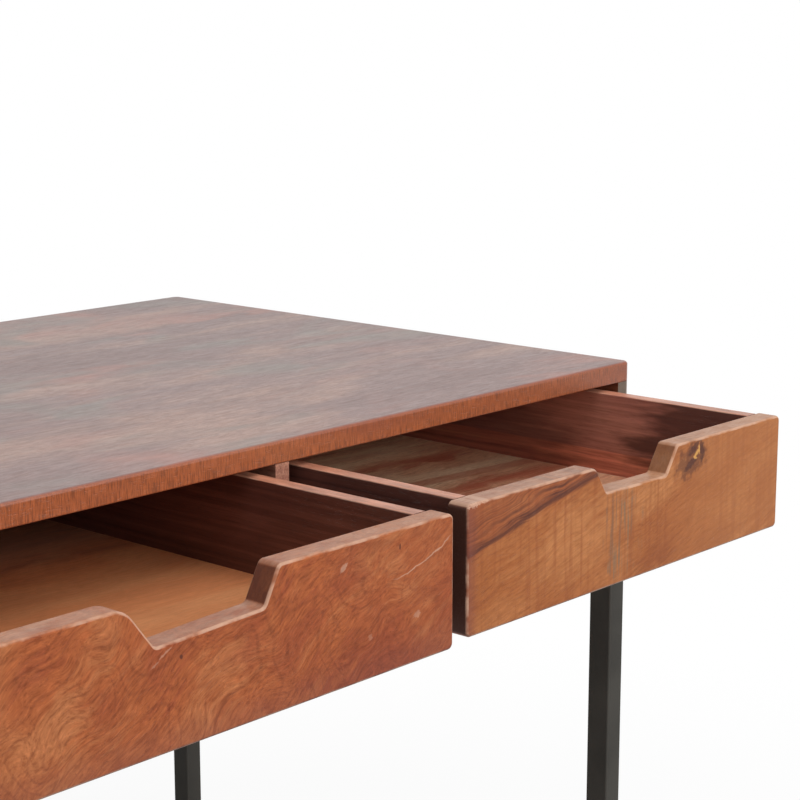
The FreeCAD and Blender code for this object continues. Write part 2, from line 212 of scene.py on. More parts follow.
class Finish:
    """A material and short ways to add its nodes."""

    def __init__(self, name):
        self.material = bpy.data.materials.new(name)
        self.material.use_nodes = True
        self.tree = self.material.node_tree
        self.tree.nodes.clear()

    def add(self, kind, **values):
        node = self.tree.nodes.new(kind)
        for key, value in values.items():
            setattr(node, key, value)
        return node

    def feed(self, socket, value):
        """Links a socket to another one, or sets its value."""
        if isinstance(value, bpy.types.NodeSocket):
            self.tree.links.new(value, socket)
        elif socket.type == "RGBA":
            socket.default_value = (*value, 1)
        else:
            socket.default_value = value

    def sum(self, operation, *values, clamp=False):
        node = self.add("ShaderNodeMath", operation=operation, use_clamp=clamp)
        for socket, value in zip(node.inputs, values):
            self.feed(socket, value)
        return node.outputs[0]

    def vector(self, operation, *values):
        node = self.add("ShaderNodeVectorMath", operation=operation)
        for socket, value in zip(node.inputs, values):
            self.feed(socket, value)
        return node.outputs["Value" if operation in ("LENGTH", "DOT_PRODUCT", "DISTANCE") else "Vector"]

    def split(self, vector):
        node = self.add("ShaderNodeSeparateXYZ")
        self.feed(node.inputs[0], vector)
        return tuple(node.outputs)

    def join(self, x, y, z):
        node = self.add("ShaderNodeCombineXYZ")
        for socket, value in zip(node.inputs, (x, y, z)):
            self.feed(socket, value)
        return node.outputs[0]

    def place(self, centre=(0, 0, 0), turn=(0, 0, 0)):
        """Places on the piece, measured from a centre and turned."""
        node = self.add("ShaderNodeMapping", vector_type="TEXTURE")
        self.feed(node.inputs["Vector"], self.add("ShaderNodeTexCoord").outputs["Object"])
        node.inputs["Location"].default_value = centre
        node.inputs["Rotation"].default_value = turn
        return node.outputs[0]

    def stretch(self, space, scale, seed=0.0):
        """Places stretched along each axis and moved by a seed."""
        return self.vector("MULTIPLY_ADD", space, scale, (seed * 1.7, seed * 2.9, seed * 4.3))

    def noise(self, space, detail=2.0, rough=0.5, twist=0.0, output="Fac"):
        node = self.add("ShaderNodeTexNoise")
        self.feed(node.inputs["Vector"], space)
        for key, value in (("Scale", 1.0), ("Detail", detail), ("Roughness", rough), ("Distortion", twist)):
            node.inputs[key].default_value = value
        return node.outputs[output]

    def bands(self, distance, detail=2.0):
        """Uneven bands along one measure."""
        node = self.add("ShaderNodeTexNoise", noise_dimensions="1D")
        self.feed(node.inputs["W"], distance)
        node.inputs["Scale"].default_value = 1.0
        node.inputs["Detail"].default_value = detail
        return node.outputs["Fac"]

    def ease(self, value, low, high):
        """0 below low, 1 above high and a smooth change between them."""
        node = self.add("ShaderNodeMapRange", interpolation_type="SMOOTHSTEP")
        for socket, part in zip(node.inputs, (value, low, high, 0.0, 1.0)):
            self.feed(socket, part)
        return node.outputs[0]

    def range(self, value, low, high, start, end):
        """A value that runs from start at low to end at high."""
        node = self.add("ShaderNodeMapRange")
        for socket, part in zip(node.inputs, (value, low, high, start, end)):
            self.feed(socket, part)
        return node.outputs[0]

    def ramp(self, value, *stops):
        node = self.add("ShaderNodeValToRGB")
        node.color_ramp.interpolation = "EASE"
        elements = node.color_ramp.elements
        while len(elements) < len(stops):
            elements.new(1.0)
        for element, (position, shade) in zip(elements, stops):
            element.position = position
            element.color = (*shade, 1)
        self.feed(node.inputs[0], value)
        return node.outputs["Color"]

    def mix(self, share, first, second, blend="MIX"):
        node = self.add("ShaderNodeMix", data_type="RGBA", blend_type=blend)
        for socket, value in zip((node.inputs[0], node.inputs[6], node.inputs[7]), (share, first, second)):
            self.feed(socket, value)
        return node.outputs[2]

    def lay(self, shade, coat, mask, share):
        """Lays a share of a colour over a shade where a mask is 1."""
        return self.mix(self.times(mask, share), shade, tuple(coat))

    def times(self, *values):
        result = values[0]
        for value in values[1:]:
            result = self.sum("MULTIPLY", result, value)
        return result

    def turned_down(self, value):
        return self.sum("SUBTRACT", 1.0, value)

    def normal(self, axis):
        """How far the piece faces along an axis, from -1 to 1."""
        return self.split(self.add("ShaderNodeNewGeometry").outputs["True Normal"])[axis]

    def facing(self, axis, low=0.5, high=0.8):
        """1 where the piece faces along an axis, to either side."""
        return self.ease(self.sum("ABSOLUTE", self.normal(axis)), low, high)

    def arris(self, axis):
        """1 on the rounded edges round the faces across an axis."""
        return self.times(self.facing(axis, 0.1, 0.35), self.turned_down(self.facing(axis, 0.92, 0.99)))

    def bump(self, height, depth, strength=1.0):
        node = self.add("ShaderNodeBump")
        node.inputs["Strength"].default_value = strength
        node.inputs["Distance"].default_value = depth
        self.feed(node.inputs["Height"], height)
        return node.outputs[0]

    def surface(self, shade, rough, normal=None, **values):
        """Ends the material in one shader."""
        shader = self.add("ShaderNodeBsdfPrincipled")
        self.feed(shader.inputs["Base Color"], shade)
        self.feed(shader.inputs["Roughness"], rough)
        if normal is not None:
            self.feed(shader.inputs["Normal"], normal)
        for key, value in values.items():
            self.feed(shader.inputs[key.replace("_", " ")], value)
        output = self.add("ShaderNodeOutputMaterial")
        self.tree.links.new(shader.outputs[0], output.inputs["Surface"])
        return self.material


def put_on(material, *names):
    """Gives CAD pieces a material."""
    for name in names:
        mesh = frame["nodes"][name].data
        mesh.materials.clear()
        mesh.materials.append(material)


def middle(name):
    """Centre of a CAD piece."""
    low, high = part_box(name)
    return (Vector(low) + Vector(high)) / 2


ALONG_X, ALONG_Y, ALONG_Z = (0, 0, 0), (0, 0, math.pi / 2), (0, -math.pi / 2, 0)
# How far the log's middle lies from a board's centre, across and below it, in metres.
PITH = (0.02, -0.16)


def wood(name, piece, shades, lie=ALONG_X, seed=0.0, rings=0.4, wander=1.0, swirl=0.0, clouds=(4, 11, 11),
         blotch=0.5, lines=0.8, run=1.6, spread=0.14, marks=(), wear=0.35, dull=0.36, shine=0.4,
         end_dark=0.0, pale_up=0.0, pale=None, fleck=0.0, burr=0.0):
    """Oiled hardwood cut from a log that lies along one axis of the piece."""
    grain, colours = settings().grain, settings().colours
    finish = Finish(name)
    space = finish.place(middle(piece), lie)
    drift = finish.noise(finish.stretch(space, (1.3, 4.5, 4.5), seed), output="Color")
    reach = grain.wander * wander
    drifted = finish.vector("MULTIPLY_ADD", drift, (0, reach, reach * 0.6), space)
    eddy = finish.noise(finish.stretch(space, (13, 13, 13), seed + 3), 2.0, output="Color")
    curled = finish.vector("MULTIPLY_ADD", eddy, (swirl, swirl + 0.003, swirl + 0.003), drifted)
    from_pith = finish.vector("MULTIPLY_ADD", curled, (0.04, 1, 1), (0, -PITH[0], -PITH[1]))
    radius = finish.vector("LENGTH", from_pith)
    ring = finish.bands(finish.times(radius, 1 / grain.ring_gap), 3.0)
    streak = finish.noise(finish.stretch(curled, (run, 17, 17), seed + 7), 5.0, 0.6)
    figure = finish.sum("ADD", finish.times(ring, rings), finish.times(streak, 1 - rings))
    shade = finish.ramp(figure, (0.5 - spread, shades[0]), (0.5, shades[1]), (0.5 + spread, shades[2]))
    cloud = finish.noise(finish.stretch(curled, clouds, seed + 11), 4.0, 0.55)
    shade = finish.mix(finish.times(finish.ease(cloud, 0.5, 0.66), blotch), shade, shades[0])
    shade = finish.mix(finish.times(finish.ease(cloud, 0.48, 0.34), blotch), shade, shades[2])
    fibre = finish.noise(finish.stretch(curled, (26, 1 / grain.fibre, 1 / grain.fibre), seed), 3.0, 0.6)
    lined = finish.ramp(fibre, (0.3, [1 - lines * part for part in (0.24, 0.28, 0.32)]), (0.6, (1, 1, 1)))
    shade = finish.mix(1.0, shade, lined, "MULTIPLY")
    pore = finish.noise(finish.stretch(curled, (1 / grain.pore, 1400, 1400), seed + 5), 1.0)
    pore = finish.ease(pore, 0.63, 0.72)
    shade = finish.mix(finish.times(pore, 0.4 * lines), shade, [part * 0.5 for part in shades[0]])
    if burr:
        level = finish.noise(finish.stretch(curled, (9, 13, 13), seed + 6), 1.0)
        line = finish.sum("PINGPONG", finish.times(level, 18.0), 0.5)
        shade = finish.lay(shade, [part * 0.6 for part in shades[0]], finish.ease(line, 0.16, 0.03), burr)
    if fleck:
        speck = finish.noise(finish.stretch(curled, (110, 460, 460), seed + 9), 3.0, 0.65)
        tint = finish.ramp(speck, (0.34, [1 - fleck * part for part in (0.8, 1.0, 1.1)]), (0.5, (1, 1, 1)),
                           (0.68, [1 + fleck * 0.8] * 3))
        shade = finish.mix(1.0, shade, tint, "MULTIPLY")
        pit = finish.noise(finish.stretch(space, (640, 640, 640), seed + 1), 1.0)
        shade = finish.lay(shade, [part * 0.3 for part in shades[0]], finish.ease(pit, 0.68, 0.75), fleck)
    for mark in marks:
        shade = mark(finish, shade)
    # Painted light and sheen: faces that turn upward are laid paler, with a noise to break it up.
    if pale_up:
        painted_light_up = finish.noise(finish.stretch(space, (30, 120, 120), seed + 4), 3.0, 0.6)
        upward = finish.ease(finish.normal(2), 0.4, 0.8)
        painted_light_up = finish.times(upward, finish.range(painted_light_up, 0.3, 0.7, 0.5, 1.4), pale_up)
        shade = finish.mix(painted_light_up, shade, tuple(pale or colours.worn_and_sheen))
    # End grain's own darker tone, with painted shade on the ends and notch slopes.
    if end_dark:
        ends = finish.times(finish.facing(0, 0.75, 0.95), end_dark)
        shade = finish.mix(ends, shade, tuple(colours.end_grain_and_shade))
    if wear:
        low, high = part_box(piece)
        sizes = [end - start for start, end in zip(low, high)]
        arris = finish.arris(sizes.index(min(sizes)))
        rubbed = finish.noise(finish.stretch(space, (1 / grain.wear,) * 3, seed + 2), 3.0)
        rubbed = finish.times(arris, finish.ease(rubbed, 0.4, 0.6), wear)
        shade = finish.mix(rubbed, shade, tuple(colours.worn_and_sheen))
        # Painted shade: rounded edges that face down are darkened, as they get less light.
        downward_shade = finish.times(arris, finish.ease(finish.normal(2), -0.1, -0.4))
        shade = finish.lay(shade, colours.end_grain_and_shade, downward_shade, 0.5)
    rough = finish.range(fibre, 0.3, 0.7, dull + 0.08, dull - 0.06)
    height = finish.sum("SUBTRACT", finish.times(fibre, 0.6), pore)
    return finish.surface(shade, rough, finish.bump(height, 0.00012), Specular_IOR_Level=shine)


def front_place(finish, name):
    """Places on a drawer's front, from its lower left corner."""
    low, _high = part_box(name)
    x, _y, z = finish.split(finish.place(low))
    return finish.join(x, z, 0.0)


def spot(finish, flat, centre, size, turn=0.0, ragged=0.25, grain_size=0.004):
    """1 in the middle of an oval mark with a ragged edge and 0 outside it."""
    moved = finish.vector("SUBTRACT", flat, (*centre, 0))
    rough = finish.noise(finish.stretch(flat, (1 / grain_size,) * 3, centre[0] * 90), 2.0)
    x, y, _z = finish.split(moved)
    c, s = math.cos(turn), math.sin(turn)
    across = finish.sum("ADD", finish.times(x, c / size[0]), finish.times(y, s / size[0]))
    up = finish.sum("ADD", finish.times(x, -s / size[1]), finish.times(y, c / size[1]))
    distance = finish.vector("LENGTH", finish.join(across, up, 0.0))
    distance = finish.sum("ADD", distance, finish.times(finish.sum("SUBTRACT", rough, 0.5), 4 * ragged))
    return finish.ease(distance, 1.0, 0.55)


def scratch(finish, flat, centre, radius, width, reach, size):
    """1 along a scratch that follows a part of a circle and 0 beside it."""
    wobble = finish.noise(finish.stretch(flat, (110, 110, 110)), 2.0)
    distance = finish.vector("DISTANCE", flat, (*centre, 0))
    distance = finish.sum("ADD", distance, finish.times(finish.sum("SUBTRACT", wobble, 0.5), 0.008))
    line = finish.sum("ABSOLUTE", finish.sum("SUBTRACT", distance, radius))
    return finish.times(finish.ease(line, width, width * 0.3), spot(finish, flat, reach, size, 0.3, 0.1))


class DressTop(bpy.types.Operator):
    """Finishes the top board"""

    bl_idname = "desk.dress_top"
    bl_label = "Top board"

    # Broad patches of another tone: colour, seed, how often they change along each axis, and strength.
    TINTS = (("top_rose", 21, (3.5, 8, 8), 0.8), ("top_cool", 27, (5, 11, 11), 0.7))
    # The darkest and the palest tone of the fine mottle, as shares of the wood's own.
    MOTTLE = ((0.91, 0.9, 0.9), (1.09, 1.1, 1.1))
    # Where the edge starts to darken to the right and is darkest, in metres, and the tone left there.
    EDGE_DIM = (0.1, 0.47)
    EDGE_DIM_SHARE = 0.78

    def execute(self, context):
        colours = context.scene.desk.colours

        def edge_strokes(finish, shade):
            space = finish.place()
            stroke = finish.noise(finish.stretch(space, (1000, 1000, 80)), 4.0, 0.65)
            red = finish.noise(finish.stretch(space, (5, 5, 20)), 2.0)
            edge = finish.mix(finish.ease(stroke, 0.4, 0.56), tuple(part * 0.52 for part in colours.top_edge),
                              tuple(colours.top_edge))
            edge = finish.lay(edge, colours.worn_and_sheen, finish.ease(stroke, 0.6, 0.7), 0.2)
            edge = finish.lay(edge, colours.left_dark, finish.ease(red, 0.48, 0.66), 0.5)
            dim = finish.range(finish.split(space)[0], *self.EDGE_DIM, 1.0, self.EDGE_DIM_SHARE)
            edge = finish.mix(1.0, edge, finish.join(dim, dim, dim), "MULTIPLY")
            side = finish.sum("MAXIMUM", finish.facing(1), finish.facing(0))
            shade = finish.mix(finish.times(side, 0.9), shade, edge)
            return finish.lay(shade, colours.heart_red, finish.arris(2), 0.4)

        def tints(finish, shade):
            space = finish.place(middle("top_board"))
            for tint, seed, scale, share in self.TINTS:
                patch = finish.noise(finish.stretch(space, scale, seed), 3.0, 0.55, 0.6)
                shade = finish.lay(shade, getattr(colours, tint), finish.ease(patch, 0.5, 0.68), share)
            mottle = finish.noise(finish.stretch(space, (40, 110, 110), 29), 3.0, 0.6)
            mottle = finish.ramp(mottle, (0.34, self.MOTTLE[0]), (0.66, self.MOTTLE[1]))
            shade = finish.mix(1.0, shade, mottle, "MULTIPLY")
            pit = finish.noise(finish.stretch(space, (70, 190, 190), 25), 1.0)
            return finish.lay(shade, colours.heartwood, finish.ease(pit, 0.76, 0.82), 0.6)

        shades = shades_of("top")
        put_on(wood("top_wood", "top_board", shades, seed=1, rings=0.15, wander=0.6, swirl=0.012,
                    clouds=(2.4, 7, 7), blotch=0.75, lines=0.5, spread=0.24, marks=[tints, edge_strokes],
                    wear=0, shine=0.5, fleck=0.2), "top_board")
        return {"FINISHED"}


class DressCase(bpy.types.Operator):
    """Finishes the sides, divider, bottom and back of the case"""

    bl_idname = "desk.dress_case"
    bl_label = "Case boards"

    def execute(self, context):
        colours = context.scene.desk.colours
        shades = shades_of("case")

        def grey_edge(finish, shade):
            front = finish.ease(finish.normal(1), -0.7, -0.95)
            return finish.lay(shade, colours.panel_edge, front, 0.85)

        for number, name in enumerate(("left_side_panel", "right_side_panel")):
            put_on(wood(name + "_wood", name, shades, ALONG_Y, 12 + 3 * number, rings=0.25, swirl=0.012,
                        marks=[grey_edge], fleck=0.15), name)
        name = "centre_divider"
        put_on(wood(name + "_wood", name, shades_of("divider"), ALONG_Y, 18, fleck=0.35), name)
        for number, name in enumerate(("bottom_board", "back_panel")):
            put_on(wood(name + "_wood", name, shades, ALONG_X, 31 + 3 * number, rings=0.25, swirl=0.012,
                        fleck=0.15), name)
        return {"FINISHED"}


class DressLeftFront(bpy.types.Operator):
    """Finishes the left drawer's front"""

    bl_idname = "desk.dress_left_front"
    bl_label = "Left drawer's front"

    # Marks on the front, in metres from its lower left corner: centre, half size and, for scuffs, strength.
    SCUFFS = (((0.3215, 0.087), (0.0045, 0.0026), 0.4), ((0.3975, 0.036), (0.004, 0.003), 0.35),
              ((0.348, 0.031), (0.0025, 0.003), 0.2), ((0.157, 0.066), (0.007, 0.0009), 0.3),
              ((0.15, 0.061), (0.004, 0.0009), 0.25))
    PITS = (((0.1715, 0.061), (0.0016, 0.002)), ((0.3795, 0.09), (0.0012, 0.003)))
    # The pale scratch: a part of a circle, and the oval that it shows in.
    SCRATCH = {"centre": (0.3532, 0.238), "radius": 0.172, "width": 0.0008, "reach": (0.406, 0.077),
               "size": (0.038, 0.013)}
    # Where the dark right end and the purple lower edge start and are full.
    DARK_END = (0.3, 0.42)
    LOW_EDGE = (0.03, 0.0)

    def execute(self, context):
        colours = context.scene.desk.colours
        name = "left_drawer_front"

        def use_marks(finish, shade):
            flat = front_place(finish, name)
            shade = finish.lay(shade, colours.worn_and_sheen, scratch(finish, flat, **self.SCRATCH), 0.65)
            for centre, size, share in self.SCUFFS:
                scuff = spot(finish, flat, centre, size, 0.5, 0.5, 0.0025)
                shade = finish.lay(shade, colours.worn_and_sheen, scuff, share)
            for centre, size in self.PITS:
                shade = finish.lay(shade, colours.heartwood, spot(finish, flat, centre, size), 0.8)
            x, z, _y = finish.split(flat)
            shade = finish.lay(shade, colours.left_dark, finish.ease(x, *self.DARK_END), 0.25)
            return finish.lay(shade, colours.left_low, finish.ease(z, *self.LOW_EDGE), 0.35)

        shades = shades_of("left")
        put_on(wood("left_front_wood", name, shades, (0, -0.5, 0), 21, rings=0.2, wander=0.4, swirl=0.05,
                    clouds=(7, 10, 10), blotch=0.8, lines=0.45, run=13, spread=0.17, marks=[use_marks],
                    wear=0.6, shine=0.12, end_dark=0.75, pale_up=0.35, fleck=0.3, burr=0.28), name)
        return {"FINISHED"}


class DressRightFront(bpy.types.Operator):
    """Finishes the right drawer's front"""

    bl_idname = "desk.dress_right_front"
    bl_label = "Right drawer's front"

    # Marks on the front, in metres from its lower left corner: centre, half size and, in the knot, turn.
    CHIPS = (((0.007, 0.1015), (0.009, 0.0022)), ((0.021, 0.1025), (0.005, 0.0016)))
    KNOT_LINES = (((0.312, 0.0925), (0.0045, 0.0115), 0.1), ((0.296, 0.083), (0.012, 0.004), 0.5),
                  ((0.3005, 0.096), (0.011, 0.0035), 0.6))
    KNOT_RESIN = (((0.3045, 0.091), (0.006, 0.0022), 0.7), ((0.302, 0.0875), (0.004, 0.0016), -0.4),
                  ((0.308, 0.094), (0.0014, 0.005), 0.1))
    # The heartwood's lower border: its slope and its height at the front's left end.
    HEART_SLOPE = math.radians(12.2)
    HEART_HEIGHT = 0.061
    # Where the heartwood starts to show and is full, its lines in a metre, and how far they bend.
    HEART_END = (0.2, 0.165)
    HEART_LINES = 420.0
    HEART_BEND = 0.012
    # Centre and half size of the dark wood round the knot and of the streaked part.
    HALO = ((0.297, 0.087), (0.028, 0.018))
    STREAKED = ((0.196, 0.045), (0.03, 0.055))
    # Where the purple left end and the pale right end start and are full.
    LOW_END = (0.016, 0.0)
    PALE_END = (0.24, 0.34)

    def execute(self, context):
        colours = context.scene.desk.colours
        name = "right_drawer_front"

        def heart(finish, shade):
            flat = front_place(finish, name)
            dark = tuple(colours.heartwood)
            wave = finish.noise(finish.stretch(flat, (14, 14, 14)), 1.0)
            x, z, _y = finish.split(flat)
            edge = finish.sum("ADD", finish.times(x, math.tan(self.HEART_SLOPE)), self.HEART_HEIGHT)
            above = finish.sum("SUBTRACT", z, edge)
            above = finish.sum("ADD", above, finish.times(finish.sum("SUBTRACT", wave, 0.5), 0.008))
            bend = finish.noise(finish.stretch(flat, (22, 60, 60), 3), 2.0)
            bend = finish.times(finish.sum("SUBTRACT", bend, 0.5), self.HEART_BEND)
            lines = finish.bands(finish.times(finish.sum("ADD", above, bend), self.HEART_LINES), 2.0)
            patchy = finish.noise(finish.stretch(flat, (28, 70, 1), 8), 2.0)
            patchy = finish.range(patchy, 0.35, 0.65, 0.45, 1.1)
            near = finish.times(finish.ease(above, -0.0015, 0.0015), finish.ease(above, 0.05, 0.006))
            left = finish.ease(x, *self.HEART_END)
            share = finish.times(left, near, patchy, finish.range(lines, 0.43, 0.57, 0.75, 0.05))
            red = finish.times(left, finish.ease(above, -0.002, 0.003), 0.5)
            shade = finish.mix(red, shade, tuple(colours.heart_red))
            shade = finish.mix(share, shade, dark)
            border = finish.sum("ABSOLUTE", finish.sum("SUBTRACT", above, 0.003))
            shade = finish.mix(finish.times(left, finish.ease(border, 0.0028, 0.0008), 0.75), shade, dark)
            shade = finish.lay(shade, colours.left_low, finish.ease(x, *self.LOW_END), 0.55)
            for centre, size in self.CHIPS:
                chip = spot(finish, flat, centre, size, 0.0, 0.7, 0.0014)
                shade = finish.lay(shade, colours.worn_and_sheen, chip, 0.6)
            return shade

        def knot(finish, shade):
            flat = front_place(finish, name)
            halo = spot(finish, flat, *self.HALO, 0.3, 0.4, 0.009)
            shade = finish.lay(shade, colours.heartwood, halo, 0.6)
            for places, coat, ragged, speck in ((self.KNOT_LINES, colours.heartwood, 0.4, 0.004),
                                                (self.KNOT_RESIN, colours.knot, 0.3, 0.002)):
                for centre, size, turn in places:
                    mark = spot(finish, flat, centre, size, turn, ragged, speck)
                    shade = finish.lay(shade, coat, mark, 0.8)
            return shade

        def streaks(finish, shade):
            flat = front_place(finish, name)
            stroke = finish.noise(finish.stretch(flat, (400, 18, 1), 2), 1.0, 0.4)
            smear = finish.noise(finish.stretch(flat, (60, 30, 1), 5), 2.0)
            inside = spot(finish, flat, *self.STREAKED, 0.0, 0.3, 0.012)
            share = finish.times(finish.ease(stroke, 0.45, 0.58), finish.ease(smear, 0.3, 0.55), inside, 0.75)
            shade = finish.mix(share, shade, tuple(colours.bruise))
            faint = finish.noise(finish.stretch(flat, (210, 9, 1), 6), 2.0)
            shade = finish.lay(shade, colours.right_dark, finish.ease(faint, 0.46, 0.68), 0.5)
            pale_end = finish.times(finish.ease(finish.split(flat)[0], *self.PALE_END), 0.35)
            return finish.mix(pale_end, shade, tuple(colours.right_light))

        shades = shades_of("right")
        put_on(wood("right_front_wood", name, shades, (0, -0.25, 0), 33, rings=0.15, wander=0.6, swirl=0.012,
                    clouds=(7, 14, 14), blotch=0.5, lines=0.65, run=6, spread=0.18,
                    marks=[streaks, heart, knot], wear=0.6, shine=0.12, end_dark=0.95, pale_up=0.45,
                    fleck=0.17), name)
        return {"FINISHED"}


class DressDrawers(bpy.types.Operator):
    """Finishes the sides, backs and bottoms of the drawers"""

    bl_idname = "desk.dress_drawers"
    bl_label = "Drawer boxes"

    # The right drawer's right side, in metres: where the painted shade at its ends starts and is full, its
    # strength and how far the figure moves it, and the band in which its pale foot ends.
    PAINTED_SHADE_ENDS = ((0.14, 0.07, 0.85), (0.18, 0.25, 0.5))
    END_DRIFT = 0.25
    PALE_FOOT = (0.050, 0.048)
    # The foot's red, green and blue, as shares of the wood above it.
    FOOT_SHARES = (1.7, 1.45, 1.2)
    # Painted light over the front of the left drawer's bottom and painted shadow over its rear.
    # The left drawer's bottom, in metres from its front: colour, where it starts and is full, and strength.
    FLOOR_LIGHT_AND_SHADOW = (("floor_light", 0.34, 0.24, 0.55), ("floor_rear_shadow", 0.27, 0.38, 0.6))
    # Stripes of the right drawer's bottom in a metre of its width and of its depth.
    STRIPES = (3.0, 26.0)
    # Where the worn line beside the pale side starts and is full, in metres from that side.
    WORN_LINE = (0.003, 0.001)

    def execute(self, context):
        colours = context.scene.desk.colours
        # The darker wood is partly painted shade, for the sides that lie in shade.
        dark_and_shaded_wood, pale_wood = shades_of("left_side"), shades_of("right_side")
        pale_side = "right_drawer_right_side"

        def pale_side_shade_and_foot(finish, shade):
            space = finish.place(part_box(pale_side)[0])
            _x, y, z = finish.split(space)
            figure = finish.noise(finish.stretch(space, (60, 9, 60), 4), 4.0, 0.6)
            drift = finish.times(finish.sum("SUBTRACT", figure, 0.5), self.END_DRIFT)
            # Painted shade at the front and rear ends of the side.
            for low, high, share in self.PAINTED_SHADE_ENDS:
                end = finish.ease(finish.sum("ADD", y, drift), low, high)
                shade = finish.lay(shade, colours.left_side_dark, end, share)
            return finish.mix(finish.ease(z, *self.PALE_FOOT), shade, self.FOOT_SHARES, "MULTIPLY")

        def floor_painted_light_and_shadow(finish, shade):
            y = finish.split(finish.place(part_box("left_drawer_bottom")[0]))[1]
            for tint, low, high, share in self.FLOOR_LIGHT_AND_SHADOW:
                shade = finish.lay(shade, getattr(colours, tint), finish.ease(y, low, high), share)
            return shade

        def boards(finish, shade):
            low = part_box("right_drawer_bottom")[0]
            x, y, _z = finish.split(finish.place(low))
            across, deep = self.STRIPES
            row = finish.bands(finish.sum("ADD", finish.times(y, deep), finish.times(x, across)), 1.0)
            shade = finish.lay(shade, colours.stripe_dark, finish.ease(row, 0.54, 0.64), 0.6)
            shade = finish.lay(shade, colours.stripe_light, finish.ease(row, 0.44, 0.36), 0.4)
            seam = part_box(pale_side)[0][0] - low[0]
            start, full = (seam - gap for gap in self.WORN_LINE)
            return finish.lay(shade, colours.worn_and_sheen, finish.ease(x, start, full), 0.5)

        for number, (drawer, back, floor, mark) in enumerate((
                ("left_drawer", dark_and_shaded_wood, shades_of("floor"), floor_painted_light_and_shadow),
                ("right_drawer", pale_wood, shades_of("stripe"), boards))):
            for place, hand in enumerate(("left", "right")):
                name = f"{drawer}_{hand}_side"
                shades, marks = (pale_wood, [pale_side_shade_and_foot]) if name == pale_side else (dark_and_shaded_wood, [])
                # Every side's upward faces get painted light in a paler colour.
                put_on(wood(name + "_wood", name, shades, ALONG_Y, 41 + 5 * number + 11 * place, marks=marks,
                            pale_up=0.75, pale=tuple(colours.side_top_painted_light)), name)
            name = drawer + "_back"
            put_on(wood(name + "_wood", name, back, ALONG_X, 61 + 5 * number), name)
            name = drawer + "_bottom"
            put_on(wood(name + "_wood", name, floor, ALONG_X, 71 + 5 * number, rings=0.2, swirl=0.02,
                        clouds=(7, 16, 16), marks=[mark], wear=0, fleck=0.2), name)
        return {"FINISHED"}


class DressRunners(bpy.types.Operator):
    """Finishes the guides, stops and dowels"""

    bl_idname = "desk.dress_runners"
    bl_label = "Guides, stops and dowels"

    def execute(self, context):
        shades = shades_of("floor")
        drawers = ("left_drawer", "right_drawer")
        guides = [f"{drawer}_{hand}_guide" for drawer in drawers for hand in ("left", "right")]
        stops = [f"{drawer}_{kind}_stop" for drawer in drawers for kind in ("open", "close")]
        put_on(wood("guide_wood", guides[0], shades, ALONG_Y, 81, dull=0.45), *guides)
        put_on(wood("stop_wood", stops[0], shades, ALONG_X, 84, dull=0.5), *stops)
        put_on(wood("dowel_wood", "case_dowels", shades, ALONG_Z, 87, wear=0, dull=0.55), "case_dowels",
               *[drawer + "_dowels" for drawer in drawers])
        return {"FINISHED"}


# Roughness of the coat on steel and of the plastic.
STEEL_DULL, PLASTIC_DULL = 0.46, 0.6


def powder_coat(name, shade, dull):
    """Black powder coat with a fine uneven surface."""
    grain, colours = settings().grain, settings().colours
    finish = Finish(name)
    space = finish.place()
    peel = finish.noise(finish.stretch(space, (1 / grain.peel,) * 3), 2.0)
    cloud = finish.noise(finish.stretch(space, (14, 14, 14)), 3.0)
    dust = finish.noise(finish.stretch(space, (900, 900, 900)), 1.0)
    tint = finish.ramp(cloud, (0.3, [part * 0.85 for part in shade]), (0.7, [part * 1.2 for part in shade]))
    tint = finish.lay(tint, colours.coat_dust, finish.ease(dust, 0.68, 0.78), 0.2)
    round_edges = finish.times(*[finish.turned_down(finish.facing(axis, 0.93, 0.99)) for axis in range(3)])
    tint = finish.lay(tint, colours.coat_edge, round_edges, 0.35)
    rough = finish.range(cloud, 0.3, 0.7, dull - 0.05, dull + 0.07)
    return finish.surface(tint, rough, finish.bump(peel, 0.00006), Specular_IOR_Level=0.06)


class DressStand(bpy.types.Operator):
    """Finishes the legs, rails and foot glides"""

    bl_idname = "desk.dress_stand"
    bl_label = "Steel stand"

    def execute(self, context):
        colours = context.scene.desk.colours
        corners = [f"{end}_{hand}" for end in ("front", "back") for hand in ("left", "right")]
        legs, glides = ([f"{corner}_{kind}" for corner in corners] for kind in ("leg", "glide"))
        put_on(powder_coat("black_steel", tuple(colours.steel), STEEL_DULL), *legs,
               "left_end_rail", "right_end_rail", "back_rail")
        put_on(powder_coat("black_plastic", tuple(colours.plastic), PLASTIC_DULL), *glides)
        return {"FINISHED"}


